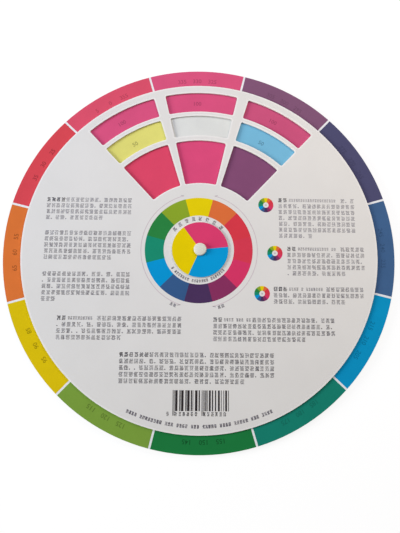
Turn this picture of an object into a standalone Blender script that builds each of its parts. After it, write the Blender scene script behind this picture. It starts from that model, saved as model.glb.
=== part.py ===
"""Two-sided card wheel for mixing colours, in metres, +Z up.

A dial printed on both faces turns between two smaller covers with die-cut
windows. A small three-colour disc lies on the front cover, and a two-part snap
rivet holds the stack and carries all four discs. The wheel lies on its back:
the front faces up, +Y is the top of the print, and the rivet's flange rests on
z = 0. Angles on the print run clockwise from the top, as on a clock.
"""

import math

import bmesh
import bpy
from mathutils import Matrix, Vector

# Discs
DIAL_RADIUS = 0.1175
COVER_RADIUS = 0.1068
HUB_RADIUS = 0.0169
CARD_THICKNESS = 0.0008
HUB_THICKNESS = 0.0005
LAYER_GAP = 0.0003

# Print on the discs
HUE_COUNT = 12
RING_OUTER_RADIUS = 0.0323
RING_WIDTH = 0.0112
DIAL_TURN = math.radians(1.4)
HUB_SEAM_ANGLE = math.radians(-36.2)

# Front windows, from the cover's edge inward
RIM_STRIP = 0.0048
BASE_WINDOW_HEIGHT = 0.0128
BASE_STRIP = 0.0028
MIXER_WINDOW_HEIGHT = 0.01315
MIXER_STRIP = 0.0034
RESULT_WINDOW_HEIGHT = 0.0279
WINDOW_COLUMNS = 3
WINDOW_HALF_ANGLE = math.radians(12.95)
WINDOW_CORNER = 0.0009

# Back windows: one column of equal rows between the same rim and centre
BACK_ROWS = 4
BACK_STRIP = 0.0034

# Rivet
HEAD_RADIUS = 0.00385
HEAD_THICKNESS = 0.0017
HEAD_CROWN = 0.0002
HEAD_ROUND = 0.0008
SLEEVE_RADIUS = 0.0025
SLEEVE_WALL = 0.0008
RUNNING_CLEARANCE = 0.0003
SNAP_CLEARANCE = 0.0002
BARB_REACH = 0.00015
FLANGE_RADIUS = 0.0055
FLANGE_THICKNESS = 0.0010
FLANGE_ROUND = 0.0003
PIN_SLOT_WIDTH = 0.0006
LIP_SHARE = 0.15
CAVITY_SHARE = 0.7
BARB_TIP_SHARE = 0.65

# Cuts and facets
CUT_OVERRUN = 0.001
WELD_DISTANCE = 0.000001
DISC_STEPS = 144
HUB_STEPS = 72
RIVET_STEPS = 40
CROWN_STEPS = 3
ROUND_STEPS = 5
WINDOW_STEPS = 8
CORNER_STEPS = 3
SMOOTH_ANGLE = math.radians(30)

# Levels, from the table up
BACK_LEVEL = FLANGE_THICKNESS + LAYER_GAP
DIAL_LEVEL = BACK_LEVEL + CARD_THICKNESS + LAYER_GAP
COVER_LEVEL = DIAL_LEVEL + CARD_THICKNESS + LAYER_GAP
HUB_LEVEL = COVER_LEVEL + CARD_THICKNESS + LAYER_GAP
HEAD_LEVEL = HUB_LEVEL + HUB_THICKNESS + LAYER_GAP

# Radii that follow from the sizes above
HOLE_RADIUS = SLEEVE_RADIUS + RUNNING_CLEARANCE
RING_INNER_RADIUS = RING_OUTER_RADIUS - RING_WIDTH
BASE_OUTER = COVER_RADIUS - RIM_STRIP
BASE_INNER = BASE_OUTER - BASE_WINDOW_HEIGHT
MIXER_OUTER = BASE_INNER - BASE_STRIP
MIXER_INNER = MIXER_OUTER - MIXER_WINDOW_HEIGHT
RESULT_OUTER = MIXER_INNER - MIXER_STRIP
RESULT_INNER = RESULT_OUTER - RESULT_WINDOW_HEIGHT
FRONT_WINDOWS = (
    (RESULT_INNER, RESULT_OUTER),
    (MIXER_INNER, MIXER_OUTER),
    (BASE_INNER, BASE_OUTER),
)
SECTOR = 2 * math.pi / HUE_COUNT

# Inks, as red, green and blue on the screen's 0 to 255 scale
PAPER = (222, 222, 222)
BLANK = (223, 225, 224)
TINTS = {
    "magenta": (216, 71, 126),
    "magenta half": (227, 150, 182),
    "cyan": (14, 138, 192),
    "cyan half": (111, 179, 218),
    "yellow": (212, 195, 16),
    "yellow half": (218, 215, 107),
    "blank": BLANK,
}
# Each hue: name, colour, first ink, second ink
HUES = (
    ("magenta", (216, 68, 124), "magenta", "blank"),
    ("purple", (122, 75, 110), "magenta", "cyan half"),
    ("violet", (78, 72, 110), "cyan", "magenta"),
    ("blue", (61, 91, 134), "cyan", "magenta half"),
    ("cyan", (14, 138, 192), "cyan", "blank"),
    ("teal", (26, 115, 100), "cyan", "yellow half"),
    ("green", (28, 111, 54), "yellow", "cyan"),
    ("yellow_green", (111, 143, 59), "yellow", "cyan half"),
    ("yellow", (212, 195, 16), "yellow", "blank"),
    ("orange", (215, 115, 58), "yellow", "magenta half"),
    ("red", (211, 72, 88), "magenta", "yellow"),
    ("rose", (213, 72, 106), "magenta", "yellow half"),
)
# The purer hues of the covers' printed rings, clockwise from the top
RING_HUES = (
    ("yellow", (222, 200, 14)),
    ("orange", (214, 108, 60)),
    ("scarlet", (209, 58, 70)),
    ("crimson", (208, 57, 78)),
    ("magenta", (204, 51, 98)),
    ("plum", (130, 49, 91)),
    ("violet", (70, 50, 86)),
    ("blue", (54, 86, 134)),
    ("cyan", (12, 144, 204)),
    ("teal", (27, 134, 104)),
    ("green", (43, 127, 65)),
    ("lime", (134, 161, 44)),
)
HUB_COLOURS = (("magenta", (216, 59, 109)), ("cyan", (10, 148, 207)), ("yellow", (222, 197, 6)))
# Each band on the dial's back: name, the grey mixed into the hue, its share
BACK_MIXES = (
    ("pure", 255, 0.0),
    ("tint", 255, 0.55),
    ("tone", 128, 0.55),
    ("shade", 0, 0.5),
)
RIVET_COLOUR = (227, 230, 220)


def linear(channel):
    """A screen value from 0 to 255 as linear light."""
    value = channel / 255
    return value / 12.92 if value <= 0.04045 else ((value + 0.055) / 1.055) ** 2.4


def material(name, colour, roughness=0.5):
    """The Principled material of that name, made once."""
    found = bpy.data.materials.get(name)
    if found:
        return found
    made = bpy.data.materials.new(name)
    made.use_nodes = True
    shader = made.node_tree.nodes["Principled BSDF"]
    shader.inputs["Base Color"].default_value = (*[linear(c) for c in colour], 1)
    shader.inputs["Roughness"].default_value = roughness
    shader.inputs["Metallic"].default_value = 0
    made.diffuse_color = shader.inputs["Base Color"].default_value
    return made


def clockwise(radius, angle, height=0):
    """The point at a clockwise angle from +Y."""
    return Vector((radius * math.sin(angle), radius * math.cos(angle), height))


def add_object(name, shape, level=0):
    """Puts a bmesh in the scene as a smooth-shaded object on the rivet's axis."""
    mesh = bpy.data.meshes.new(name)
    shape.to_mesh(mesh)
    shape.free()
    mesh.shade_smooth()
    mesh.set_sharp_from_angle(angle=SMOOTH_ANGLE)
    made = bpy.data.objects.new(name, mesh)
    made.location.z = level
    bpy.context.scene.collection.objects.link(made)
    return made


def turned(profile, steps, closed):
    """A bmesh that turns a profile of (radius, height) points round the Z axis."""
    shape = bmesh.new()
    points = [shape.verts.new(clockwise(radius, 0, height)) for radius, height in profile]
    pairs = list(zip(points, points[1:]))
    if closed:
        pairs.append((points[-1], points[0]))
    edges = [shape.edges.new(pair) for pair in pairs]
    bmesh.ops.spin(
        shape,
        geom=points + edges,
        cent=Vector((0, 0, 0)),
        axis=Vector((0, 0, -1)),
        angle=2 * math.pi,
        steps=steps,
        use_merge=True,
    )
    bmesh.ops.remove_doubles(shape, verts=shape.verts, dist=WELD_DISTANCE)
    bmesh.ops.recalc_face_normals(shape, faces=shape.faces)
    return shape


def card(radii, thickness, steps):
    """A flat disc with a hole, its faces split at each of the radii."""
    below = [(radius, 0) for radius in radii]
    above = [(radius, thickness) for radius in reversed(radii)]
    return turned(below + above, steps, closed=True)


def paint(board, pick):
    """Gives each face the material that pick returns for its radius, angle and side."""
    slots = board.data.materials
    for face in board.data.polygons:
        x, y, _ = face.center
        side = round(face.normal.z)
        ink = pick(math.hypot(x, y), math.atan2(x, y), side)
        if ink.name not in slots:
            slots.append(ink)
        face.material_index = slots.find(ink.name)


def sector_at(angle, start, count):
    """The number of the sector that an angle lies in, the first one centred on start."""
    width = 2 * math.pi / count
    return int((angle - start + width / 2) // width) % count


def ink(name):
    return material("ink_" + name.replace(" ", "_"), TINTS[name])


def hue_ink(index):
    name, colour = HUES[index][:2]
    return material("hue_" + name, colour)


def back_ink(index, band):
    """The hue alone, or let down with white, grey or black."""
    name, colour = HUES[index][:2]
    mix, grey, mix_share = BACK_MIXES[band]
    mixed = [channel + (grey - channel) * mix_share for channel in colour]
    return material(f"{mix}_{name}", mixed)


def paper():
    return material("card_white", PAPER)


def middle(inner, outer):
    return (inner + outer) / 2


def back_windows():
    """The inner and outer radii of the back cover's windows, from the centre out."""
    height = (BASE_OUTER - RESULT_INNER - BACK_STRIP * (BACK_ROWS - 1)) / BACK_ROWS
    rows = []
    for row in range(BACK_ROWS):
        inner = RESULT_INNER + row * (height + BACK_STRIP)
        rows.append((inner, inner + height))
    return rows


def band_edges(windows):
    """The radii that part the printed bands, in the middle of the strips."""
    edges = [middle(RING_OUTER_RADIUS, windows[0][0])]
    for lower, upper in zip(windows, windows[1:]):
        edges.append(middle(lower[1], upper[0]))
    edges.append(middle(windows[-1][1], COVER_RADIUS))
    return edges


def make_dial():
    """The printed board between the covers: hues on the rim, mixing bands inside."""
    front_edges = band_edges(FRONT_WINDOWS)
    back_edges = band_edges(back_windows())
    radii = sorted({HOLE_RADIUS, DIAL_RADIUS, *front_edges, *back_edges})
    dial = add_object("dial_disc", card(radii, CARD_THICKNESS, DISC_STEPS), DIAL_LEVEL)
    dial.rotation_euler.z = DIAL_TURN

    def pick(radius, angle, side):
        edges = front_edges if side > 0 else back_edges
        hue = sector_at(angle, 0, HUE_COUNT)
        if side == 0 or radius < edges[0]:
            return paper()
        if radius > edges[-1]:
            return hue_ink(hue)
        band = sum(radius > edge for edge in edges) - 1
        if side < 0:
            return back_ink(hue, BACK_ROWS - 1 - band)
        first, second = HUES[hue][2:]
        return (hue_ink(hue), ink(second), ink(first))[band]

    paint(dial, pick)
    return dial


def window_outline(shape, inner, outer, heading):
    """A flat face with the outline of one window, its four corners rounded."""
    angles = []
    for step in range(WINDOW_STEPS + 1):
        angles.append(heading + WINDOW_HALF_ANGLE * (2 * step / WINDOW_STEPS - 1))
    outside = [shape.verts.new(clockwise(outer, angle)) for angle in angles]
    inside = [shape.verts.new(clockwise(inner, angle)) for angle in reversed(angles)]
    shape.faces.new(outside + inside)
    bmesh.ops.bevel(
        shape,
        geom=[outside[0], outside[-1], inside[0], inside[-1]],
        offset=WINDOW_CORNER,
        offset_type="OFFSET",
        segments=CORNER_STEPS,
        profile=0.5,
        affect="VERTICES",
    )


def window_dies(name, windows):
    """The cutting dies of a cover: windows as (inner, outer, heading), as one cutter."""
    shape = bmesh.new()
    for inner, outer, heading in windows:
        window_outline(shape, inner, outer, heading)
    grown = bmesh.ops.extrude_face_region(shape, geom=shape.faces[:])
    raised = [item for item in grown["geom"] if isinstance(item, bmesh.types.BMVert)]
    height = CARD_THICKNESS + 2 * CUT_OVERRUN
    bmesh.ops.translate(shape, verts=raised, vec=Vector((0, 0, height)))
    bmesh.ops.translate(shape, verts=shape.verts, vec=Vector((0, 0, -CUT_OVERRUN)))
    bmesh.ops.recalc_face_normals(shape, faces=shape.faces)
    dies = add_object(name, shape)
    dies.data.materials.append(paper())
    return dies


def cut(target, cutter):
    """Takes a hidden cutter out of the target."""
    cutter.parent = target
    cutter.hide_render = True
    cutter.display_type = "WIRE"
    cutting = target.modifiers.new("cut", "BOOLEAN")
    cutting.operation = "DIFFERENCE"
    cutting.solver = "EXACT"
    cutting.object = cutter


def make_cover(name, level, windows, printed_side):
    """A white cover with a printed ring of hues and its windows cut through."""
    radii = (HOLE_RADIUS, RING_INNER_RADIUS, RING_OUTER_RADIUS, COVER_RADIUS)
    cover = add_object(name, card(radii, CARD_THICKNESS, DISC_STEPS), level)

    def pick(radius, angle, side):
        if side != printed_side or not RING_INNER_RADIUS < radius < RING_OUTER_RADIUS:
            return paper()
        name, colour = RING_HUES[sector_at(angle, 0, HUE_COUNT)]
        return material("ring_" + name, colour)

    paint(cover, pick)
    cut(cover, window_dies(name + "_dies", windows))
    return cover


def make_window_cover():
    """Three columns of windows over three neighbouring hues."""
    windows = []
    for column in range(WINDOW_COLUMNS):
        heading = (column - (WINDOW_COLUMNS - 1) / 2) * SECTOR
        windows += [(inner, outer, heading) for inner, outer in FRONT_WINDOWS]
    return make_cover("window_cover", COVER_LEVEL, windows, 1)


def make_back_cover():
    """One column of windows over a hue and its tint, tone and shade."""
    windows = [(inner, outer, 0) for inner, outer in back_windows()]
    return make_cover("back_cover", BACK_LEVEL, windows, -1)


def make_hub():
    """The small disc on the front, printed with the three primary inks."""
    shape = card((HOLE_RADIUS, HUB_RADIUS), HUB_THICKNESS, HUB_STEPS)
    hub = add_object("hub_disc", shape, HUB_LEVEL)
    hub.rotation_euler.z = -HUB_SEAM_ANGLE
    first_middle = math.pi / len(HUB_COLOURS)

    def pick(_, angle, side):
        if side <= 0:
            return paper()
        name, colour = HUB_COLOURS[sector_at(angle, first_middle, len(HUB_COLOURS))]
        return material("hub_" + name, colour)

    paint(hub, pick)
    return hub


def snap_heights():
    """The top of the cap's snap lip and of the cavity above it."""
    lip = HEAD_LEVEL + HEAD_THICKNESS * LIP_SHARE
    cavity = HEAD_LEVEL + HEAD_THICKNESS * CAVITY_SHARE
    return lip, cavity


def head_profile():
    """The cap's head from its underside to the axis: a round edge and a low crown."""
    flat = HEAD_RADIUS - HEAD_ROUND
    shoulder = HEAD_LEVEL + HEAD_THICKNESS - HEAD_CROWN
    points = [(HEAD_RADIUS, HEAD_LEVEL)]
    for step in range(ROUND_STEPS + 1):
        angle = math.pi / 2 * step / ROUND_STEPS
        reach = flat + HEAD_ROUND * math.cos(angle)
        points.append((reach, shoulder - HEAD_ROUND * (1 - math.sin(angle))))
    for step in range(1, CROWN_STEPS + 1):
        reach_share = 1 - step / CROWN_STEPS
        points.append((flat * reach_share, shoulder + HEAD_CROWN * (1 - reach_share ** 2)))
    return points


def rivet_plastic():
    return material("rivet_plastic", RIVET_COLOUR, 0.35)


def make_rivet_cap():
    """The round-edged head and the sleeve that the discs turn on, hollow for the pin."""
    lip, cavity = snap_heights()
    bore = SLEEVE_RADIUS - SLEEVE_WALL
    groove = bore + BARB_REACH + SNAP_CLEARANCE
    cavity_tip = bore * BARB_TIP_SHARE + SNAP_CLEARANCE
    sleeve_end = FLANGE_THICKNESS + LAYER_GAP
    profile = [
        (0, cavity),
        (cavity_tip, cavity),
        (groove, lip + SNAP_CLEARANCE),
        (groove, lip),
        (bore, lip),
        (bore, sleeve_end),
        (SLEEVE_RADIUS, sleeve_end),
        (SLEEVE_RADIUS, HEAD_LEVEL),
    ]
    shape = turned(profile + head_profile(), RIVET_STEPS, closed=False)
    cap = add_object("rivet_cap", shape)
    cap.data.materials.append(rivet_plastic())
    return cap


def slot_cutter(bottom, top, reach):
    """The cutter for the slot that lets the pin's two halves spring."""
    shape = bmesh.new()
    size = Vector((PIN_SLOT_WIDTH, 2 * reach, top - bottom))
    place = Matrix.Translation((0, 0, middle(bottom, top)))
    bmesh.ops.create_cube(shape, size=1, matrix=place @ Matrix.Diagonal(size).to_4x4())
    cutter = add_object("pin_slot_cutter", shape)
    cutter.data.materials.append(rivet_plastic())
    return cutter


def make_rivet_post():
    """The flange under the back cover and the split pin that snaps into the cap."""
    lip, cavity = snap_heights()
    bore = SLEEVE_RADIUS - SLEEVE_WALL
    pin = bore - SNAP_CLEARANCE
    barb = bore + BARB_REACH
    barb_base = lip + SNAP_CLEARANCE
    barb_top = cavity - SNAP_CLEARANCE
    profile = [
        (0, 0),
        (FLANGE_RADIUS - FLANGE_ROUND, 0),
        (FLANGE_RADIUS, FLANGE_ROUND),
        (FLANGE_RADIUS, FLANGE_THICKNESS),
        (pin, FLANGE_THICKNESS),
        (pin, barb_base),
        (barb, barb_base),
        (bore * BARB_TIP_SHARE, barb_top),
        (0, barb_top),
    ]
    post = add_object("rivet_post", turned(profile, RIVET_STEPS, closed=False))
    post.data.materials.append(rivet_plastic())
    cut(post, slot_cutter(BACK_LEVEL, barb_top + CUT_OVERRUN, barb + CUT_OVERRUN))
    return post


def clear_scene():
    for old in list(bpy.data.objects):
        bpy.data.objects.remove(old)


def main():
    clear_scene()
    make_dial()
    make_window_cover()
    make_back_cover()
    make_hub()
    make_rivet_cap()
    make_rivet_post()


main()
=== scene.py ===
"""Looks for the colour mixing wheel: print, paper, light and camera.

Lengths are in metres. Angles on the print run clockwise from the top, +Y, as on
a clock. Each disc's print is a thin film of ink that lies on the card: flat
fields of colour, plain numbers, and rows of small broken strokes that spell
nothing.
"""

import functools
import math
import random

import bmesh
import bpy
from mathutils import Euler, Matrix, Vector

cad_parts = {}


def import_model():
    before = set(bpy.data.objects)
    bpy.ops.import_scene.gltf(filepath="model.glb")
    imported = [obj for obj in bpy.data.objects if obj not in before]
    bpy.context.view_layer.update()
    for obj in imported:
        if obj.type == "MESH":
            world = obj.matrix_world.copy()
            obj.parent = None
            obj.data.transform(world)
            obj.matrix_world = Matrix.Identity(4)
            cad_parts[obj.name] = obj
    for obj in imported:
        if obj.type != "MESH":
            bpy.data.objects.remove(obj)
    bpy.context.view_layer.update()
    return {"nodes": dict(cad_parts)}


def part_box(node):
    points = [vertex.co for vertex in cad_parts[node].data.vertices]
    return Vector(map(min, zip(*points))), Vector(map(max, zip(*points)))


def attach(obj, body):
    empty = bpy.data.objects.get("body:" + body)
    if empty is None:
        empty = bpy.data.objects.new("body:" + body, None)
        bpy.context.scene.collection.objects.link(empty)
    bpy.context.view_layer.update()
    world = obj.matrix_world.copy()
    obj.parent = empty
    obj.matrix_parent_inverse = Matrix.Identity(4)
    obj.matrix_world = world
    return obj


SEED = 11
MM = 0.001
ORIGIN = (0.0, 0.0)
WHITE = (1.0, 1.0, 1.0, 1.0)

# Camera, measured from the photograph, with its sensor's width in mm
PHOTO_WIDTH = 400
PHOTO_HEIGHT = 533
FOCAL_PIXELS = 517.49
SENSOR = 36.0
CAMERA_TILT = (math.radians(10.586), math.radians(-1.052), math.radians(0.494))
CAMERA_TARGET = (0.07 * MM, -10.0 * MM)
CAMERA_DISTANCE = 309.24 * MM
CLIP_NEAR = 0.01
CLIP_FAR = 20.0

# Lamps: distance, clockwise bearing and angle above the floor in degrees, width,
# power in watts, colour
LAMPS = {
    "key": (1.3, -93, 22, 0.55, 15.2, (1.0, 0.98, 0.91)),
    "haze": (0.48, 45, 45, 0.3, 1.06, (1.0, 0.852, 0.721)),
    "left": (0.5, -60, 55, 0.4, 0.7, (0.339, 0.557, 1.0)),
}
ROOM_COLOUR = (1.0, 0.96, 0.92, 1.0)
ROOM_STRENGTH = 0.24

# Floor: it looks mostly like the backdrop near the wheel, and wholly far off
FLOOR_HALF = 6.0
FLOOR_SEGMENTS = 8
FLOOR_COLOUR = (0.9, 0.9, 0.9, 1.0)
FLOOR_GLOW = 1.06
FLOOR_NEAR_SHARE = 0.82
FLOOR_NEAR = 0.22
FLOOR_FAR = 1.1

# Disc radii
DIAL_RADIUS = 117.46 * MM
COVER_RADIUS = 106.8 * MM
HUB_RADIUS = 16.9 * MM
HUB_MARGIN = 0.06 * MM
HOLE_RADIUS = 2.8 * MM

# Dial print
SECTORS = 12
SECTOR = math.tau / SECTORS
SECTOR_DEGREES = 360 // SECTORS
DIAL_TURN = math.radians(-1.4)
FRONT_EDGES = (37.1 * MM, 71.55 * MM, 87.8 * MM, 104.4 * MM)
BACK_EDGES = (37.1 * MM, 56.1 * MM, 72.0 * MM, 87.85 * MM, 104.4 * MM)
RIM_START = 104.43 * MM
RIM_DIVIDER = 1.25 * MM
BAND_DIVIDER = 0.6 * MM
ARC_STEP = math.radians(2.5)
FIRST_DEGREES = 330
RIM_NUMBER_SPREAD = 5
RIM_NUMBER_RADIUS = 110.6 * MM
RIM_NUMBER_HEIGHT = 2.7 * MM
NUMBER_WEIGHT = 0.012
NUMBER_RESOLUTION = 3
BASE_NUMBER_RADIUS = 95.0 * MM
MIXER_NUMBER_RADIUS = 78.7 * MM
BAND_NUMBER_HEIGHT = 2.6 * MM
FULL_STRENGTH = "100"
HALF_STRENGTH = "50"

# Cover windows, as inner and outer radii
FRONT_WINDOWS = (
    (41.95 * MM, 69.85 * MM),
    (73.25 * MM, 86.4 * MM),
    (89.2 * MM, 102.0 * MM),
)
BACK_WINDOWS = (
    (41.95 * MM, 54.41 * MM),
    (57.81 * MM, 70.27 * MM),
    (73.68 * MM, 86.14 * MM),
    (89.54 * MM, 102.0 * MM),
)
FRONT_HEADINGS = (-SECTOR, 0.0, SECTOR)
WINDOW_HALF_ANGLE = math.radians(12.95)
WINDOW_CORNER = 0.9 * MM
WINDOW_STEPS = 16
CORNER_STEPS = 4

# Film over a cover's face, from each cut inwards: offset, height above the card
# and how far its colour is lightened, a painted highlight of the cut edges
PRESSED = (
    (0.03 * MM, 0.012 * MM, 1.0),
    (0.3 * MM, 0.026 * MM, 1.0),
    (0.6 * MM, 0.038 * MM, 0.8),
    (0.9 * MM, 0.046 * MM, 0.4),
    (1.15 * MM, 0.048 * MM, 0.0),
    (1.25 * MM, 0.048 * MM, 0.0),
)
LAMINATE_HEIGHT = 0.048 * MM
LAMINATE_FOOT = 0.01 * MM
CENTRE_CUT = 3.2 * MM
RIM_STEPS = round(math.tau / ARC_STEP)
CENTRE_STEPS = RIM_STEPS // 4

# Cover print
RING_CENTRE = (-0.75 * MM, 0.1 * MM)
RING_INNER = 21.1 * MM
RING_OUTER = 32.3 * MM
ARC_CENTRE = (-0.5 * MM, 0.0)
ARC_RADIUS = 34.9 * MM
ARC_LINE = 0.3 * MM
ARC_ENDS = (
    (math.radians(-162.0), math.radians(-16.0)),
    (math.radians(15.3), math.radians(166.4)),
)
TICK_LENGTH = 1.9 * MM
TICK_TURN = math.radians(24)

# Film heights above or below a card's face
FIELD_LIFT = 0.03 * MM
MARK_LIFT = 0.05 * MM
FILM_DEPTH = 0.04 * MM
WELD = 0.0005 * MM

# Cells of broken strokes: a reach, a break and an upright are in half cells
CELL_PITCH = 2.88 * MM
CELL_SIZE = 2.5 * MM
LINE_PITCH = 3.72 * MM
STROKE = 0.29 * MM
BOLD_STROKE = 0.36 * MM
CELL_ROWS = 5
OUTER_REACH = (0.6, 1.0)
INNER_REACH = (0.5, 1.0)
WEIGHT_SPREAD = (0.9, 1.18)
BREAK_SHARE = 0.3
BREAK_START = (-0.35, 0.05)
BREAK_WIDTH = (0.25, 0.45)
UPRIGHT_SHARE = 0.3
UPRIGHT_PLACE = (-0.8, 0.6)
PAUSE_SHARE = 0.08
PAUSE_PLACE = -CELL_SIZE / 3
SMALL_SIZE = 1.8 * MM
SMALL_PITCH = 1.45 * MM
SMALL_STROKE = 0.26 * MM
SMALL_ROWS = 4

# Inks, on the screen's 0 to 255 scale
TINTS = {
    "magenta": (213, 83, 126),
    # A magenta darkened as painted shade, for the sector that shows in the right-hand window at
    # rest
    "deep magenta": (198, 83, 123),
    "magenta half": (227, 150, 182),
    "cyan": (10, 147, 198),
    "cyan half": (117, 183, 215),
    "yellow": (219, 192, 10),
    "yellow half": (221, 217, 118),
    "blank": (217, 220, 217),
}
# Each hue: colour, first ink, second ink, and the shade of its rim numbers
HUES = (
    ((214, 85, 125), "magenta", "blank", 0.82),
    # This sector's first ink is the magenta darkened as painted shade
    ((126, 85, 116), "deep magenta", "cyan half", 0.9),
    ((76, 76, 110), "cyan", "magenta", 0.9),
    ((64, 98, 141), "cyan", "magenta half", 0.88),
    ((10, 147, 198), "cyan", "blank", 0.8),
    ((23, 128, 110), "cyan", "yellow half", 0.86),
    ((29, 121, 62), "yellow", "cyan", 0.74),
    ((122, 158, 62), "yellow", "cyan half", 0.78),
    ((219, 192, 10), "yellow", "blank", 0.74),
    ((217, 116, 54), "yellow", "magenta half", 0.74),
    ((213, 72, 82), "magenta", "yellow", 0.76),
    ((216, 81, 106), "magenta", "yellow half", 0.84),
)
# How the result of two inks differs from the hue of its rim
MIX_SHIFT = (2, -9, -3)
RING_HUES = (
    (228, 206, 8),
    (218, 111, 59),
    (213, 58, 72),
    (211, 59, 80),
    (212, 54, 101),
    (134, 49, 94),
    (73, 50, 90),
    (54, 90, 137),
    (5, 149, 210),
    (26, 138, 108),
    (42, 129, 64),
    (137, 165, 43),
)
HUB_HUES = ((216, 61, 109), (6, 153, 213), (229, 204, 1))
HUB_SEAM = math.radians(-36.2)
# The back's bands: a grey, and its share in the hue
BACK_MIXES = ((0, 0.5), (128, 0.55), (255, 0.55), (255, 0.0))
PALE_NUMBER_SHADE = 0.74
DEEP_NUMBER_SHADE = 0.82
GREY_COOLNESS = 3
BOLD_GREY = 58
RING_GREY = 104
BAR_INK = (46, 42, 44)
DOT_INK = (176, 172, 176)
ARC_INK = (198, 181, 189)
TICK_INK = (126, 118, 124)
FAINT_TICK_INK = (178, 168, 174)
PAPER_WHITE = (222, 221, 218)
# Paper along the cuts, lighter as a painted highlight of the cut edges catching the light
PAINTED_HIGHLIGHT_WHITE = (233, 232, 230)
DIAL_WHITE = (230, 233, 236)
RAW_BOARD = (236, 231, 222)
RIVET_WHITE = (217, 217, 203)

# Noises: cycles per metre and detail, then the range over which the values from
# low to high are spread
NOISE_ROUGHNESS = 0.55
NOISE_LOW = 0.3
NOISE_HIGH = 0.7
PAPER_MOTTLE = (60, 4, 0.985, 1.01)
PAPER_SMUDGE = (14, 2, 0.985, 1.008)
PAPER_ROUGHNESS = (45, 3, 0.68, 0.8)
INK_MOTTLE = (85, 4, 0.965, 1.03)
INK_GRAIN = (1500, 2, 0.985, 1.015)
INK_ROUGHNESS = (40, 3, 0.66, 0.78)
PLASTIC_TONE = (380, 3, 0.97, 1.02)
PLASTIC_ROUGHNESS = (700, 4, 0.22, 0.36)

# Reliefs and the board's layers: cycles per metre and detail, for some also the
# noise's own roughness and its stretch. A bump is a strength and a distance
PAPER_FIBRE = (2600, 3)
PAPER_BUMP = (0.12, 0.04 * MM)
INK_FIBRE = (2200, 3)
INK_BUMP = (0.1, 0.04 * MM)
PLASTIC_SCRATCHES = (1400, 2, 0.5, (1.0, 9.0, 1.0))
PLASTIC_BUMP = (0.05, 0.03 * MM)
BOARD_LAYERS = (900, 3, 0.6, (1.0, 1.0, 14.0))
BOARD_SHADES = (0.86, 1.02)

# Gloss, and the uprightness of a normal below which a face is a cut side
PAPER_SPECULAR = 0.3
INK_SPECULAR = 0.04
PLASTIC_COAT = 0.4
PLASTIC_COAT_ROUGHNESS = 0.18
SIDE_UPRIGHT = 0.5

# Sockets of a node that mixes two colours
MIX_FACTOR = 0
MIX_FIRST = 6
MIX_SECOND = 7
MIX_RESULT = 2

# Blocks of broken strokes, in mm: left, right, first line's height, line count,
# last line's end, bold cells at the start, end of the small cells after them
# (the left margin where there are none), and the ink's grey
FRONT_BLOCKS = (
    (-93.3, -41.5, 30.2, 4, -58.5, 4, -93.3, 126),
    (-93.3, -41.3, 9.5, 5, -52.5, 0, -93.3, 110),
    (-93.3, -41.2, -15.5, 5, -83.5, 0, -93.3, 102),
    (-83.3, -10.3, -41.5, 4, -45.2, 2, -60.4, 92),
    (7.7, 79.5, -41.7, 4, 62.8, 2, 31.0, 92),
    (47.2, 94.3, 31.6, 7, 69.0, 2, 84.0, 138),
    (52.0, 99.0, 1.2, 5, 87.5, 2, 83.7, 122),
    (43.5, 97.5, -23.2, 3, 87.5, 3, 75.0, 110),
    (-46.3, 43.5, -62.2, 5, 25.5, 6, -46.3, 74),
)
BACK_BLOCKS = (
    (-83.0, -12.0, -44.0, 6, -40.0, 4, -83.0, 100),
    (12.0, 83.0, -44.0, 6, 60.0, 4, 12.0, 100),
    (-44.0, 44.0, -74.0, 5, 20.0, 6, -44.0, 80),
)

# Pairs of marks at the lower ends of the arcs: clockwise degrees and grey
SMALL_MARKS = ((-155.4, 126), (158.9, 103))
SMALL_MARK_RADIUS = 36.4 * MM
SMALL_MARK_TURN = math.radians(1.7)
SMALL_MARK_SIZE = 1.9 * MM

# Small rings of the hues, each with a dot: places in mm
MINI_WHEELS = ((39.9, 28.4), (44.9, -1.6), (36.9, -26.1))
MINI_OUTER = 4.6 * MM
MINI_INNER = 1.7 * MM
MINI_DOT = 0.45 * MM
MINI_DOT_HOLE = MINI_DOT / 3

# Marks between the small disc and the ring of hues, in clockwise degrees
RING_MARK_RADIUS = 19.1 * MM
RING_MARK_SIZE = 2.3 * MM
RING_MARKS = (-49.5, -36.5, -23.0, -10.0, 2.0, 15.0, 29.0, 44.0)

# Curved rows of cells: first and last clockwise degree, the cells' pitch before
# they are narrowed, the stroke's share of it, and grey. A run is the count of
# cells before a gap
RING_ROW = (128.0, 236.0, 2.05 * MM, 0.165, RING_GREY)
FOOT_ROW = (155.8, 203.7, 2.35 * MM, 0.2, 114)
FOOT_RADIUS = 102.0 * MM
CURVED_ROWS = 4
CELL_SHARE = 0.86
NARROW = 0.7
FIRST_RUN = (4, 8)
LATER_RUN = (3, 8)

# Bar pattern, in mm, with its widths and gaps in modules
BARS_LEFT = -14.8
BARS_RIGHT = 17.8
BARS_TOP = -82.0
BARS_FOOT = -93.5
GUARD_FOOT = -96.0
BAR_MODULE = 0.343
BAR_WIDTHS = (1, 2, 3, 4)
BAR_GAPS = (1, 2, 3)
BAR_GUARDS = (0.0, 0.5, 1.0)
GUARD_REACH = 0.03

# Cells under the bars: first place in mm and count
BAR_MARK_SIZE = 2.2 * MM
BAR_MARK_STROKE = 0.36 * MM
BAR_MARK_STEP = 2.3
BAR_MARKS = ((-17.6, 1), (-13.0, 6), (3.2, 6))
BAR_MARK_HEIGHT = -95.1



def linear(channel):
    """A screen value from 0 to 255 as linear light."""
    value = channel / 255
    return value / 12.92 if value <= 0.04045 else ((value + 0.055) / 1.055) ** 2.4


def linear_colour(colour):
    return (*[linear(channel) for channel in colour], 1.0)


def scaled(colour, share):
    return tuple(channel * share for channel in colour)


def mixed(colour, grey, share):
    return tuple(channel + (grey - channel) * share for channel in colour)


def grey_ink(grey):
    """A near-neutral ink, a little cool."""
    return (grey, grey - GREY_COOLNESS, grey + GREY_COOLNESS)


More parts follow.
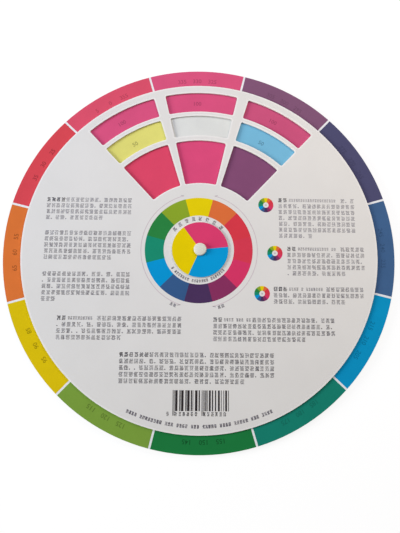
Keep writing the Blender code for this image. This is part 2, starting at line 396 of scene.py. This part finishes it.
def clockwise(radius, angle, centre=ORIGIN):
    """The point at a clockwise angle from +Y about a centre."""
    return (centre[0] + radius * math.sin(angle), centre[1] + radius * math.cos(angle))


def neighbours(count):
    """Each place round a loop, with the one after it."""
    return [(place, (place + 1) % count) for place in range(count)]


def new_object(name, data):
    """An object in the scene for a mesh, text, lamp or camera."""
    made = bpy.data.objects.new(name, data)
    bpy.context.scene.collection.objects.link(made)
    return made


# Flat print: a film is a list of (points, colour), each point (x, y)


def arc_field(inner, outer, start, end, colour, gap=0.0, centre=ORIGIN):
    """A field of colour between two radii and angles, its sides pulled in by half a gap."""
    steps = max(1, math.ceil((end - start) / ARC_STEP))
    inset_in = gap / 2 / inner
    inset_out = gap / 2 / outer
    faces = []
    for step in range(steps):
        low_share = step / steps
        high_share = (step + 1) / steps
        corners = []
        for radius, inset, share in (
            (inner, inset_in, low_share),
            (outer, inset_out, low_share),
            (outer, inset_out, high_share),
            (inner, inset_in, high_share),
        ):
            angle = start + inset + (end - start - 2 * inset) * share
            corners.append(clockwise(radius, angle, centre))
        faces.append((corners[::-1], colour))
    return faces


def box_field(left, right, low, high, colour):
    return [([(left, low), (right, low), (right, high), (left, high)], colour)]


def moved(faces, angle, centre, radius=0.0):
    """Turns faces drawn about the origin clockwise and sets them at a radius from a centre."""
    cos_turn = math.cos(angle)
    sin_turn = math.sin(angle)
    placed = []
    for points, colour in faces:
        shifted = []
        for x, y in points:
            up = y + radius
            shifted.append(
                (centre[0] + x * cos_turn + up * sin_turn, centre[1] - x * sin_turn + up * cos_turn)
            )
        placed.append((shifted, colour))
    return placed


def mirrored(faces):
    """The same print read from below: x runs the other way."""
    return [([(-x, y) for x, y in points][::-1], colour) for points, colour in faces]


def narrowed(faces):
    return [([(x * NARROW, y) for x, y in points], colour) for points, colour in faces]


@functools.cache
def number_faces(text):
    """The faces of a number one unit high, centred on the origin."""
    curve = bpy.data.curves.new("number", "FONT")
    curve.body = text
    curve.align_x = "CENTER"
    curve.align_y = "CENTER"
    curve.resolution_u = NUMBER_RESOLUTION
    curve.offset = NUMBER_WEIGHT
    writer = new_object("number", curve)
    bpy.context.view_layer.update()
    graph = bpy.context.evaluated_depsgraph_get()
    mesh = bpy.data.meshes.new_from_object(writer.evaluated_get(graph))
    across = [vertex.co.x for vertex in mesh.vertices]
    upward = [vertex.co.y for vertex in mesh.vertices]
    middle_x = (min(across) + max(across)) / 2
    middle_y = (min(upward) + max(upward)) / 2
    height = max(upward) - min(upward)
    places = [((x - middle_x) / height, (y - middle_y) / height) for x, y in zip(across, upward)]
    shape = [[places[corner] for corner in face.vertices] for face in mesh.polygons]
    bpy.data.objects.remove(writer)
    bpy.data.curves.remove(curve)
    bpy.data.meshes.remove(mesh)
    return shape


def number(text, height, radius, angle, colour):
    """A number at a radius and clockwise angle, its top outwards."""
    faces = []
    for points in number_faces(text):
        faces.append(([(x * height, y * height) for x, y in points], colour))
    return moved(faces, angle, ORIGIN, radius)


def stroke_cell(chance, size, stroke, rows, colour):
    """A square cell of broken level strokes, some with a short upright, centred on the origin."""
    faces = []
    half = size / 2
    stroke *= chance.uniform(*WEIGHT_SPREAD)
    pitch = (size - stroke) / (rows - 1)
    for row in range(rows):
        low = -half + row * pitch
        reach = OUTER_REACH if row in (0, rows - 1) else INNER_REACH
        left = -half * chance.uniform(*reach)
        right = half * chance.uniform(*reach)
        spans = [(left, right)]
        if chance.random() < BREAK_SHARE:
            gap_left = chance.uniform(*BREAK_START) * half
            gap_right = gap_left + chance.uniform(*BREAK_WIDTH) * half
            spans = [(left, gap_left), (gap_right, right)]
        for span_left, span_right in spans:
            faces += box_field(span_left, span_right, low, low + stroke, colour)
        if row < rows - 1 and chance.random() < UPRIGHT_SHARE:
            across = chance.uniform(*UPRIGHT_PLACE) * half
            faces += box_field(across, across + stroke, low + stroke, low + pitch, colour)
    return faces


def block(chance, left, right, top, lines, last, bold, small_end, grey):
    """Lines of cells set flush between two margins, in mm; the last line ends early."""
    faces = []
    ink = grey_ink(grey)
    count = round((right - left) * MM / CELL_PITCH)
    pitch = (right - left) * MM / count
    small_start = left * MM + bold * pitch
    for line in range(lines):
        y = top * MM - line * LINE_PITCH
        for place in range(count):
            x = left * MM + (place + 0.5) * pitch
            if line == lines - 1 and x > last * MM:
                break
            if line == 0 and small_start < x < small_end * MM:
                continue
            if line == 0 and place < bold:
                cell = stroke_cell(chance, CELL_SIZE, BOLD_STROKE, CELL_ROWS, grey_ink(BOLD_GREY))
            elif chance.random() < PAUSE_SHARE:
                dot = box_field(-STROKE, STROKE, -STROKE, STROKE, ink)
                cell = moved(dot, 0.0, (PAUSE_PLACE, PAUSE_PLACE))
            else:
                cell = stroke_cell(chance, CELL_SIZE, STROKE, CELL_ROWS, ink)
            faces += moved(cell, 0.0, (x, y))
    x = small_start + SMALL_PITCH
    while x < small_end * MM - SMALL_PITCH:
        if chance.random() > PAUSE_SHARE:
            cell = stroke_cell(chance, SMALL_SIZE, SMALL_STROKE, SMALL_ROWS, ink)
            faces += moved(narrowed(cell), 0.0, (x, top * MM))
        x += SMALL_PITCH
    return faces


def curved_row(chance, centre, radius, start, end, size, stroke_share, grey):
    """Runs of small cells along an arc between two clockwise degrees, their feet outwards."""
    faces = []
    ink = grey_ink(grey)
    count = round(math.radians(end - start) * radius / (size * NARROW))
    run_left = chance.randint(*FIRST_RUN)
    for place in range(count):
        if run_left == 0:
            run_left = chance.randint(*LATER_RUN)
            continue
        run_left -= 1
        angle = math.radians(start) + math.radians(end - start) * (place + 0.5) / count
        cell = stroke_cell(chance, size * CELL_SHARE, size * stroke_share, CURVED_ROWS, ink)
        faces += moved(moved(narrowed(cell), math.pi, ORIGIN), angle, centre, radius)
    return faces


# Pieces


def runs_clockwise(outline):
    """True where an outline runs clockwise seen from above."""
    doubled = 0.0
    for (x, y), (next_x, next_y) in zip(outline, outline[1:] + outline[:1]):
        doubled += x * next_y - next_x * y
    return doubled < 0


def slab_shape(faces, high, low):
    """Closed slabs between two heights: neighbouring faces share their corners."""
    corner_numbers = {}
    points = []
    outlines = []
    for outline, colour in faces:
        ring = []
        for x, y in outline[::-1] if runs_clockwise(outline) else outline:
            key = (round(x / WELD), round(y / WELD))
            if key not in corner_numbers:
                corner_numbers[key] = len(points)
                points += [(x, y, high), (x, y, low)]
            if corner_numbers[key] not in ring:
                ring.append(corner_numbers[key])
        if len(ring) > 2:
            outlines.append((ring, colour))
    edges = {(a, b) for ring, colour in outlines for a, b in zip(ring, ring[1:] + ring[:1])}
    polygons = []
    for ring, colour in outlines:
        polygons.append((ring, colour))
        polygons.append(([corner + 1 for corner in ring[::-1]], colour))
        for a, b in zip(ring, ring[1:] + ring[:1]):
            if (b, a) not in edges:
                polygons.append(([a + 1, b + 1, b, a], colour))
    return points, polygons


def film(name, body, faces, height, material, up=True):
    """One piece of print: thin closed fields of ink, each corner with its ink's colour."""
    high = height if up else height + FILM_DEPTH
    points, polygons = slab_shape(faces, high, high - FILM_DEPTH)
    mesh = bpy.data.meshes.new(name)
    mesh.from_pydata(points, [], [ring for ring, colour in polygons])
    mesh.materials.append(material)
    ink = mesh.color_attributes.new(name="ink", type="FLOAT_COLOR", domain="CORNER")
    colours = [linear_colour(colour) for ring, colour in polygons for corner in ring]
    for corner, colour in zip(ink.data, colours):
        corner.color = colour
    made = new_object(name, mesh)
    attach(made, body)


def ring_loop(radius, count):
    return [clockwise(radius, math.tau * step / count) for step in range(count)]


def window_loop(inner, outer, heading, offset):
    """The outline of a window, moved outwards by an offset, with rounded corners."""
    corner = WINDOW_CORNER + offset
    far = outer + offset
    near = inner - offset
    leaving = range(1, CORNER_STEPS + 1)
    arriving = range(CORNER_STEPS)
    points = []

    def side_angle(radius):
        return WINDOW_HALF_ANGLE - math.asin((corner - offset) / radius)

    def along(radius, from_angle, to_angle):
        for step in range(WINDOW_STEPS + 1):
            angle = from_angle + (to_angle - from_angle) * step / WINDOW_STEPS
            points.append(clockwise(radius, heading + angle))

    def corner_arc(radius, side, first_turn, steps):
        angle = heading + side * side_angle(radius)
        middle = clockwise(radius, angle)
        for step in steps:
            turn = math.pi / 2 * step / CORNER_STEPS
            points.append(clockwise(corner, angle + first_turn + turn, middle))

    out_angle = side_angle(far - corner)
    in_angle = side_angle(near + corner)
    along(far, -out_angle, out_angle)
    corner_arc(far - corner, 1, 0.0, leaving)
    corner_arc(near + corner, 1, math.pi / 2, arriving)
    along(near, in_angle, -in_angle)
    corner_arc(near + corner, -1, math.pi, leaving)
    corner_arc(far - corner, -1, -math.pi / 2, arriving)
    return points


def laminate(name, body, rim, windows, face_height, material, up=True):
    """The film over a cover's face, which rolls down a little to every cut."""
    way = 1 if up else -1
    shape = bmesh.new()
    # Each corner's share of lighter paper near a cut: a painted highlight of the cut edges
    painted_highlight = shape.verts.layers.float.new("painted_highlight")
    offsets = [offset for offset, height, share in PRESSED]
    cuts = [
        [ring_loop(rim - offset, RIM_STEPS) for offset in offsets],
        [ring_loop(CENTRE_CUT + offset, CENTRE_STEPS) for offset in offsets],
    ]
    for window in windows:
        cuts.append([window_loop(*window, offset) for offset in offsets])
    crest = []
    foot = []
    for loops in cuts:
        rows = [[shape.verts.new((x, y, face_height - way * LAMINATE_FOOT)) for x, y in loops[0]]]
        for points, (offset, height, share) in zip(loops, PRESSED):
            rows.append([shape.verts.new((x, y, face_height + way * height)) for x, y in points])
            for vert in rows[-1]:
                vert[painted_highlight] = share
        for low, high in zip(rows, rows[1:]):
            for here, after in neighbours(len(low)):
                side = shape.faces.new((low[here], low[after], high[after], high[here]))
                side.smooth = low is not rows[0]
        for here, after in neighbours(len(rows[0])):
            foot.append(shape.edges.get((rows[0][here], rows[0][after])))
            crest.append(shape.edges.get((rows[-1][here], rows[-1][after])))
            shape.edges.get((rows[1][here], rows[1][after])).smooth = False
    for edges in (crest, foot):
        filled = bmesh.ops.triangle_fill(shape, use_beauty=True, use_dissolve=False, edges=edges)
        for part in filled["geom"]:
            if isinstance(part, bmesh.types.BMFace):
                part.smooth = edges is crest
    bmesh.ops.recalc_face_normals(shape, faces=shape.faces)
    mesh = bpy.data.meshes.new(name)
    shape.to_mesh(mesh)
    shape.free()
    mesh.materials.append(material)
    made = new_object(name, mesh)
    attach(made, body)


# Materials


def node_material(name):
    """A new material, its node tree and its main shader."""
    made = bpy.data.materials.new(name)
    made.use_nodes = True
    tree = made.node_tree
    return made, tree, tree.nodes["Principled BSDF"]


def noise(tree, scale, detail, roughness=NOISE_ROUGHNESS, stretch=None):
    """A noise texture over the object's own coordinates, in cycles per metre."""
    coordinates = tree.nodes.new("ShaderNodeTexCoord")
    texture = tree.nodes.new("ShaderNodeTexNoise")
    texture.inputs["Scale"].default_value = scale
    texture.inputs["Detail"].default_value = detail
    texture.inputs["Roughness"].default_value = roughness
    source = coordinates.outputs["Object"]
    if stretch:
        mapping = tree.nodes.new("ShaderNodeMapping")
        mapping.inputs["Scale"].default_value = stretch
        tree.links.new(source, mapping.inputs["Vector"])
        source = mapping.outputs["Vector"]
    tree.links.new(source, texture.inputs["Vector"])
    return texture.outputs["Fac"]


def ranged(tree, source, low, high):
    """Spreads the values that a noise mostly has over another range."""
    node = tree.nodes.new("ShaderNodeMapRange")
    node.inputs["From Min"].default_value = NOISE_LOW
    node.inputs["From Max"].default_value = NOISE_HIGH
    node.inputs["To Min"].default_value = low
    node.inputs["To Max"].default_value = high
    tree.links.new(source, node.inputs["Value"])
    return node.outputs["Result"]


def varied(tree, scale, detail, low, high):
    """A noise, spread over a range."""
    return ranged(tree, noise(tree, scale, detail), low, high)


def attribute(tree, name, output):
    """One output of a mesh's named attribute."""
    node = tree.nodes.new("ShaderNodeAttribute")
    node.attribute_name = name
    return node.outputs[output]


def constant_colour(tree, colour):
    node = tree.nodes.new("ShaderNodeRGB")
    node.outputs["Color"].default_value = linear_colour(colour)
    return node.outputs["Color"]


def shaded(tree, colour, factor):
    """A colour times a grey factor."""
    node = tree.nodes.new("ShaderNodeVectorMath")
    node.operation = "SCALE"
    tree.links.new(colour, node.inputs[0])
    tree.links.new(factor, node.inputs["Scale"])
    return node.outputs["Vector"]


def times(tree, first, second):
    node = tree.nodes.new("ShaderNodeMath")
    node.operation = "MULTIPLY"
    tree.links.new(first, node.inputs[0])
    tree.links.new(second, node.inputs[1])
    return node.outputs["Value"]


def blended(tree, factor, first, second):
    """One colour, and by a factor another."""
    node = tree.nodes.new("ShaderNodeMix")
    node.data_type = "RGBA"
    tree.links.new(factor, node.inputs[MIX_FACTOR])
    tree.links.new(first, node.inputs[MIX_FIRST])
    tree.links.new(second, node.inputs[MIX_SECOND])
    return node.outputs[MIX_RESULT]


def mixed_shader(tree, factor, first, second):
    node = tree.nodes.new("ShaderNodeMixShader")
    tree.links.new(factor, node.inputs["Fac"])
    tree.links.new(first, node.inputs[1])
    tree.links.new(second, node.inputs[2])
    return node.outputs["Shader"]


def bump(tree, height, strength, distance):
    node = tree.nodes.new("ShaderNodeBump")
    node.inputs["Strength"].default_value = strength
    node.inputs["Distance"].default_value = distance
    tree.links.new(height, node.inputs["Height"])
    return node.outputs["Normal"]


def textured(tree, shader, roughness, relief, depth):
    """Gives a shader an uneven roughness and a fine relief."""
    tree.links.new(varied(tree, *roughness), shader.inputs["Roughness"])
    tree.links.new(bump(tree, noise(tree, *relief), *depth), shader.inputs["Normal"])


def side_mask(tree):
    """1 on a disc's cut sides, 0 on its faces."""
    geometry = tree.nodes.new("ShaderNodeNewGeometry")
    parts = tree.nodes.new("ShaderNodeSeparateXYZ")
    upright = tree.nodes.new("ShaderNodeMath")
    upright.operation = "ABSOLUTE"
    flat = tree.nodes.new("ShaderNodeMath")
    flat.operation = "LESS_THAN"
    flat.inputs[1].default_value = SIDE_UPRIGHT
    tree.links.new(geometry.outputs["True Normal"], parts.inputs["Vector"])
    tree.links.new(parts.outputs["Z"], upright.inputs[0])
    tree.links.new(upright.outputs["Value"], flat.inputs[0])
    return flat.outputs["Value"]


def paper_tone(tree):
    """Faint mottling and handling marks, as one factor."""
    return times(tree, varied(tree, *PAPER_MOTTLE), varied(tree, *PAPER_SMUDGE))


def make_card(name, white):
    """White laminated board, with a layered raw side."""
    made, tree, shader = node_material(name)
    face = shaded(tree, constant_colour(tree, white), paper_tone(tree))
    layers = ranged(tree, noise(tree, *BOARD_LAYERS), *BOARD_SHADES)
    side = shaded(tree, constant_colour(tree, RAW_BOARD), layers)
    tree.links.new(blended(tree, side_mask(tree), face, side), shader.inputs["Base Color"])
    textured(tree, shader, PAPER_ROUGHNESS, PAPER_FIBRE, PAPER_BUMP)
    shader.inputs["Specular IOR Level"].default_value = PAPER_SPECULAR
    return made


def make_laminate():
    """Clear-coated white paper, lightened along the cuts as a painted highlight of the cut edges.
    """
    made, tree, shader = node_material("white_laminate")
    white = constant_colour(tree, PAPER_WHITE)
    highlight_white = constant_colour(tree, PAINTED_HIGHLIGHT_WHITE)
    colour = blended(tree, attribute(tree, "painted_highlight", "Fac"), white, highlight_white)
    tree.links.new(shaded(tree, colour, paper_tone(tree)), shader.inputs["Base Color"])
    textured(tree, shader, PAPER_ROUGHNESS, PAPER_FIBRE, PAPER_BUMP)
    shader.inputs["Specular IOR Level"].default_value = PAPER_SPECULAR
    return made


def make_ink():
    """Satin printing ink: the print's own colours, with mottling and a fine screen grain."""
    made, tree, shader = node_material("printing_ink")
    tone = times(tree, varied(tree, *INK_MOTTLE), varied(tree, *INK_GRAIN))
    colour = shaded(tree, attribute(tree, "ink", "Color"), tone)
    tree.links.new(colour, shader.inputs["Base Color"])
    textured(tree, shader, INK_ROUGHNESS, INK_FIBRE, INK_BUMP)
    shader.inputs["Specular IOR Level"].default_value = INK_SPECULAR
    return made


def make_plastic():
    """Off-white moulded plastic with a soft gloss and fine handling scratches."""
    made, tree, shader = node_material("moulded_plastic")
    colour = shaded(tree, constant_colour(tree, RIVET_WHITE), varied(tree, *PLASTIC_TONE))
    tree.links.new(colour, shader.inputs["Base Color"])
    textured(tree, shader, PLASTIC_ROUGHNESS, PLASTIC_SCRATCHES, PLASTIC_BUMP)
    shader.inputs["Coat Weight"].default_value = PLASTIC_COAT
    shader.inputs["Coat Roughness"].default_value = PLASTIC_COAT_ROUGHNESS
    return made


def dress_nodes(nodes):
    """Gives each carried-over node its material in every slot."""
    card = make_card("white_card_board", PAPER_WHITE)
    dial_card = make_card("dial_board", DIAL_WHITE)
    plastic = make_plastic()
    for name, node in nodes.items():
        chosen = card
        if name.startswith("rivet"):
            chosen = plastic
        elif name == "dial_disc":
            chosen = dial_card
        for index in range(len(node.data.materials)):
            node.data.materials[index] = chosen


# Print


def sector_start(index):
    return DIAL_TURN + (index - 0.5) * SECTOR


def dial_fields(index, hue, edges, inks):
    """One sector: a field of ink between each two edges, then the rim in its hue."""
    start = sector_start(index)
    end = start + SECTOR
    faces = arc_field(RIM_START, DIAL_RADIUS, start, end, hue, RIM_DIVIDER)
    for inner, outer, colour in zip(edges, edges[1:], inks):
        faces += arc_field(inner, outer, start, end, colour, BAND_DIVIDER)
    return faces


def front_dial_fields():
    faces = []
    for index, (hue, first, second, _) in enumerate(HUES):
        result = [max(0, channel + shift) for channel, shift in zip(hue, MIX_SHIFT)]
        faces += dial_fields(index, hue, FRONT_EDGES, (result, TINTS[second], TINTS[first]))
    return faces


def back_dial_fields():
    faces = []
    for index, (hue, *_) in enumerate(HUES):
        inks = [mixed(hue, grey, share) for grey, share in BACK_MIXES]
        faces += dial_fields(index, hue, BACK_EDGES, inks)
    return faces


def rim_numbers(index, colour):
    """Three numbers on one sector's rim, in degrees that fall clockwise."""
    faces = []
    heading = DIAL_TURN + index * SECTOR
    degrees = FIRST_DEGREES - index * SECTOR_DEGREES
    for step in (-RIM_NUMBER_SPREAD, 0, RIM_NUMBER_SPREAD):
        text = str((degrees - step) % 360)
        angle = heading + math.radians(step)
        faces += number(text, RIM_NUMBER_HEIGHT, RIM_NUMBER_RADIUS, angle, colour)
    return faces


def band_number(index, ink, radius):
    """An ink's strength, in a darker tone of it, on its band of one sector."""
    if ink == "blank":
        return []
    half = ink.endswith("half")
    text = HALF_STRENGTH if half else FULL_STRENGTH
    colour = scaled(TINTS[ink], PALE_NUMBER_SHADE if half else DEEP_NUMBER_SHADE)
    return number(text, BAND_NUMBER_HEIGHT, radius, DIAL_TURN + index * SECTOR, colour)


def front_dial_numbers():
    faces = []
    for index, (hue, first, second, shade) in enumerate(HUES):
        faces += rim_numbers(index, scaled(hue, shade))
        faces += band_number(index, first, BASE_NUMBER_RADIUS)
        faces += band_number(index, second, MIXER_NUMBER_RADIUS)
    return faces


def back_dial_numbers():
    faces = []
    for index, (hue, _, _, shade) in enumerate(HUES):
        faces += rim_numbers(index, scaled(hue, shade))
    return faces


def hue_ring(inner, outer, centre):
    faces = []
    for index, colour in enumerate(RING_HUES):
        start = (index - 0.5) * SECTOR
        faces += arc_field(inner, outer, start, start + SECTOR, colour, centre=centre)
    return faces


def front_rings():
    faces = hue_ring(RING_INNER, RING_OUTER, RING_CENTRE)
    for x, y in MINI_WHEELS:
        faces += hue_ring(MINI_INNER, MINI_OUTER, (x * MM, y * MM))
    return faces


def arcs_and_ticks():
    """The two thin arcs outside the ring of hues, each with a short tick at its ends."""
    faces = []
    low = ARC_RADIUS - ARC_LINE / 2
    high = ARC_RADIUS + ARC_LINE / 2
    for start, end in ARC_ENDS:
        faces += arc_field(low, high, start, end, ARC_INK, centre=ARC_CENTRE)
        for angle, way in ((start, 1), (end, -1)):
            ink = FAINT_TICK_INK if math.cos(angle) > 0 else TICK_INK
            tick = box_field(0.0, way * TICK_LENGTH, -ARC_LINE / 2, ARC_LINE / 2, ink)
            tick = moved(tick, -way * TICK_TURN, ORIGIN)
            faces += moved(tick, angle, ARC_CENTRE, ARC_RADIUS)
    return faces


def bars(chance):
    """Upright bars of random widths, with a thin and longer one at each guard."""
    faces = []
    x = BARS_LEFT
    width = BARS_RIGHT - BARS_LEFT
    while x < BARS_RIGHT - BAR_MODULE:
        bar = BAR_MODULE * chance.choice(BAR_WIDTHS)
        share = (x - BARS_LEFT) / width
        guard = min(abs(share - place) for place in BAR_GUARDS) < GUARD_REACH
        foot = GUARD_FOOT if guard else BARS_FOOT
        if guard:
            bar = BAR_MODULE
        faces += box_field(x * MM, (x + bar) * MM, foot * MM, BARS_TOP * MM, BAR_INK)
        x += bar + BAR_MODULE * (1 if guard else chance.choice(BAR_GAPS))
    return faces


def bar_marks(chance):
    """A row of small cells under the bars."""
    faces = []
    for start, count in BAR_MARKS:
        for place in range(count):
            x = (start + place * BAR_MARK_STEP) * MM
            cell = stroke_cell(chance, BAR_MARK_SIZE, BAR_MARK_STROKE, SMALL_ROWS, BAR_INK)
            faces += moved(narrowed(cell), 0.0, (x, BAR_MARK_HEIGHT * MM))
    return faces


def front_marks(chance):
    """The front cover's blocks, marks, curved rows, marks under the bars and dots."""
    faces = []
    for lines in FRONT_BLOCKS:
        faces += block(chance, *lines)
    for degrees, grey in SMALL_MARKS:
        for way in (-1, 1):
            cell = stroke_cell(chance, SMALL_MARK_SIZE, STROKE, CELL_ROWS, grey_ink(grey))
            heading = math.radians(degrees) + way * SMALL_MARK_TURN
            faces += moved(moved(cell, math.pi, ORIGIN), heading, ARC_CENTRE, SMALL_MARK_RADIUS)
    for degrees in RING_MARKS:
        cell = stroke_cell(chance, RING_MARK_SIZE, STROKE, CELL_ROWS, grey_ink(RING_GREY))
        faces += moved(cell, math.radians(degrees), RING_CENTRE, RING_MARK_RADIUS)
    faces += curved_row(chance, RING_CENTRE, RING_MARK_RADIUS, *RING_ROW)
    faces += curved_row(chance, ORIGIN, FOOT_RADIUS, *FOOT_ROW)
    faces += bar_marks(chance)
    for x, y in MINI_WHEELS:
        centre = (x * MM, y * MM)
        faces += arc_field(MINI_DOT_HOLE, MINI_DOT, 0.0, math.tau, DOT_INK, centre=centre)
    return faces


def back_marks(chance):
    faces = []
    for lines in BACK_BLOCKS:
        faces += block(chance, *lines)
    faces += curved_row(chance, ORIGIN, FOOT_RADIUS, *FOOT_ROW)
    return faces


def hub_fields():
    faces = []
    third = math.tau / len(HUB_HUES)
    for index, colour in enumerate(HUB_HUES):
        start = HUB_SEAM + index * third
        faces += arc_field(HOLE_RADIUS, HUB_RADIUS - HUB_MARGIN, start, start + third, colour)
    return faces


def make_print(ink, paper):
    """Every film of print, then the two laminates."""
    chance = random.Random(SEED)
    dial_low, dial_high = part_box("dial_disc")
    cover_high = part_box("window_cover")[1]
    back_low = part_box("back_cover")[0]
    hub_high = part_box("hub_disc")[1]
    dial_top = dial_high.z
    dial_under = dial_low.z
    cover_top = cover_high.z + LAMINATE_HEIGHT
    back_under = back_low.z - LAMINATE_HEIGHT
    hub_top = hub_high.z
    back_ring = hue_ring(RING_INNER, RING_OUTER, ORIGIN)
    prints = (
        ("dial_front_inks", "dial", front_dial_fields(), dial_top + FIELD_LIFT, True),
        ("dial_front_numbers", "dial", front_dial_numbers(), dial_top + MARK_LIFT, True),
        ("dial_back_inks", "dial", back_dial_fields(), dial_under - FIELD_LIFT, False),
        ("dial_back_numbers", "dial", back_dial_numbers(), dial_under - MARK_LIFT, False),
        ("cover_hue_rings", "front_cover", front_rings(), cover_top + FIELD_LIFT, True),
        ("cover_arc_lines", "front_cover", arcs_and_ticks(), cover_top + FIELD_LIFT, True),
        ("cover_bar_pattern", "front_cover", bars(chance), cover_top + FIELD_LIFT, True),
        ("cover_small_print", "front_cover", front_marks(chance), cover_top + FIELD_LIFT, True),
        ("back_hue_ring", "rear_cover", back_ring, back_under - FIELD_LIFT, False),
        ("back_small_print", "rear_cover", back_marks(chance), back_under - FIELD_LIFT, False),
        ("hub_inks", "hub", hub_fields(), hub_top + FIELD_LIFT, True),
    )
    for name, body, faces, height, up in prints:
        film(name, body, faces if up else mirrored(faces), height, ink, up)
    front_cuts = []
    for heading in FRONT_HEADINGS:
        front_cuts += [(inner, outer, heading) for inner, outer in FRONT_WINDOWS]
    back_cuts = [(inner, outer, 0.0) for inner, outer in BACK_WINDOWS]
    laminate("cover_laminate", "front_cover", COVER_RADIUS, front_cuts, cover_high.z, paper)
    laminate("back_laminate", "rear_cover", COVER_RADIUS, back_cuts, back_low.z, paper, False)


# Light, floor and camera


def area_light(name, distance, bearing, height_angle, size, power, colour):
    """A round lamp aimed at the wheel, at a clockwise bearing and an angle above the floor."""
    data = bpy.data.lights.new(name, "AREA")
    data.shape = "DISK"
    data.size = size
    data.energy = power
    data.color = colour
    rise = math.radians(height_angle)
    x, y = clockwise(distance * math.cos(rise), math.radians(bearing))
    place = Vector((x, y, distance * math.sin(rise)))
    lamp = new_object(name, data)
    lamp.location = place
    lamp.rotation_euler = (-place).to_track_quat("-Z", "Y").to_euler()


def make_lights():
    for name, lamp in LAMPS.items():
        area_light(name, *lamp)


def seen_directly(tree):
    """1 for the rays that show the backdrop: straight, mirrored or passed through."""
    path = tree.nodes.new("ShaderNodeLightPath")
    total = path.outputs["Is Camera Ray"]
    for output in ("Is Glossy Ray", "Is Transmission Ray"):
        larger = tree.nodes.new("ShaderNodeMath")
        larger.operation = "MAXIMUM"
        tree.links.new(total, larger.inputs[0])
        tree.links.new(path.outputs[output], larger.inputs[1])
        total = larger.outputs["Value"]
    return total


def background(tree, colour, strength):
    node = tree.nodes.new("ShaderNodeBackground")
    node.inputs["Color"].default_value = colour
    node.inputs["Strength"].default_value = strength
    return node.outputs["Background"]


def make_world():
    """The room's plain light, which is seen as pure white."""
    world = bpy.data.worlds.new("studio")
    bpy.context.scene.world = world
    world.use_nodes = True
    tree = world.node_tree
    tree.nodes.clear()
    room = background(tree, ROOM_COLOUR, ROOM_STRENGTH)
    backdrop = background(tree, WHITE, 1.0)
    out = tree.nodes.new("ShaderNodeOutputWorld")
    mix = mixed_shader(tree, seen_directly(tree), room, backdrop)
    tree.links.new(mix, out.inputs["Surface"])


def glow_share(tree):
    """How much of the floor's look is the backdrop's glow: least near the wheel, all far off."""
    coordinates = tree.nodes.new("ShaderNodeTexCoord")
    distance = tree.nodes.new("ShaderNodeVectorMath")
    distance.operation = "LENGTH"
    reach = tree.nodes.new("ShaderNodeMapRange")
    reach.interpolation_type = "SMOOTHSTEP"
    reach.inputs["From Min"].default_value = FLOOR_NEAR
    reach.inputs["From Max"].default_value = FLOOR_FAR
    reach.inputs["To Min"].default_value = FLOOR_NEAR_SHARE
    reach.inputs["To Max"].default_value = 1.0
    tree.links.new(coordinates.outputs["Object"], distance.inputs[0])
    tree.links.new(distance.outputs["Value"], reach.inputs["Value"])
    return reach.outputs["Result"]


def make_floor():
    """A plain white floor that keeps a faint shadow near the wheel and melts into the backdrop."""
    shape = bmesh.new()
    segments = FLOOR_SEGMENTS
    bmesh.ops.create_grid(shape, x_segments=segments, y_segments=segments, size=FLOOR_HALF)
    mesh = bpy.data.meshes.new("floor")
    shape.to_mesh(mesh)
    shape.free()
    floor = new_object("floor", mesh)
    made = bpy.data.materials.new("floor_white")
    made.use_nodes = True
    tree = made.node_tree
    tree.nodes.clear()
    diffuse = tree.nodes.new("ShaderNodeBsdfDiffuse")
    diffuse.inputs["Color"].default_value = FLOOR_COLOUR
    glow = tree.nodes.new("ShaderNodeEmission")
    glow.inputs["Color"].default_value = WHITE
    glow.inputs["Strength"].default_value = FLOOR_GLOW
    share = times(tree, seen_directly(tree), glow_share(tree))
    mix = mixed_shader(tree, share, diffuse.outputs["BSDF"], glow.outputs["Emission"])
    out = tree.nodes.new("ShaderNodeOutputMaterial")
    tree.links.new(mix, out.inputs["Surface"])
    mesh.materials.append(made)


def make_camera():
    data = bpy.data.cameras.new("camera")
    data.sensor_width = SENSOR
    data.lens = FOCAL_PIXELS / max(PHOTO_WIDTH, PHOTO_HEIGHT) * SENSOR
    data.clip_start = CLIP_NEAR
    data.clip_end = CLIP_FAR
    camera = new_object("camera", data)
    turn = Euler(CAMERA_TILT, "XYZ")
    target = Vector((*CAMERA_TARGET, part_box("dial_disc")[1].z))
    camera.rotation_euler = turn
    camera.location = target + turn.to_matrix() @ Vector((0.0, 0.0, CAMERA_DISTANCE))
    bpy.context.scene.camera = camera


def main():
    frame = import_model()
    make_camera()
    dress_nodes(frame["nodes"])
    make_print(make_ink(), make_laminate())
    make_floor()
    make_world()
    make_lights()
    bpy.context.scene.view_settings.view_transform = "Standard"


main()
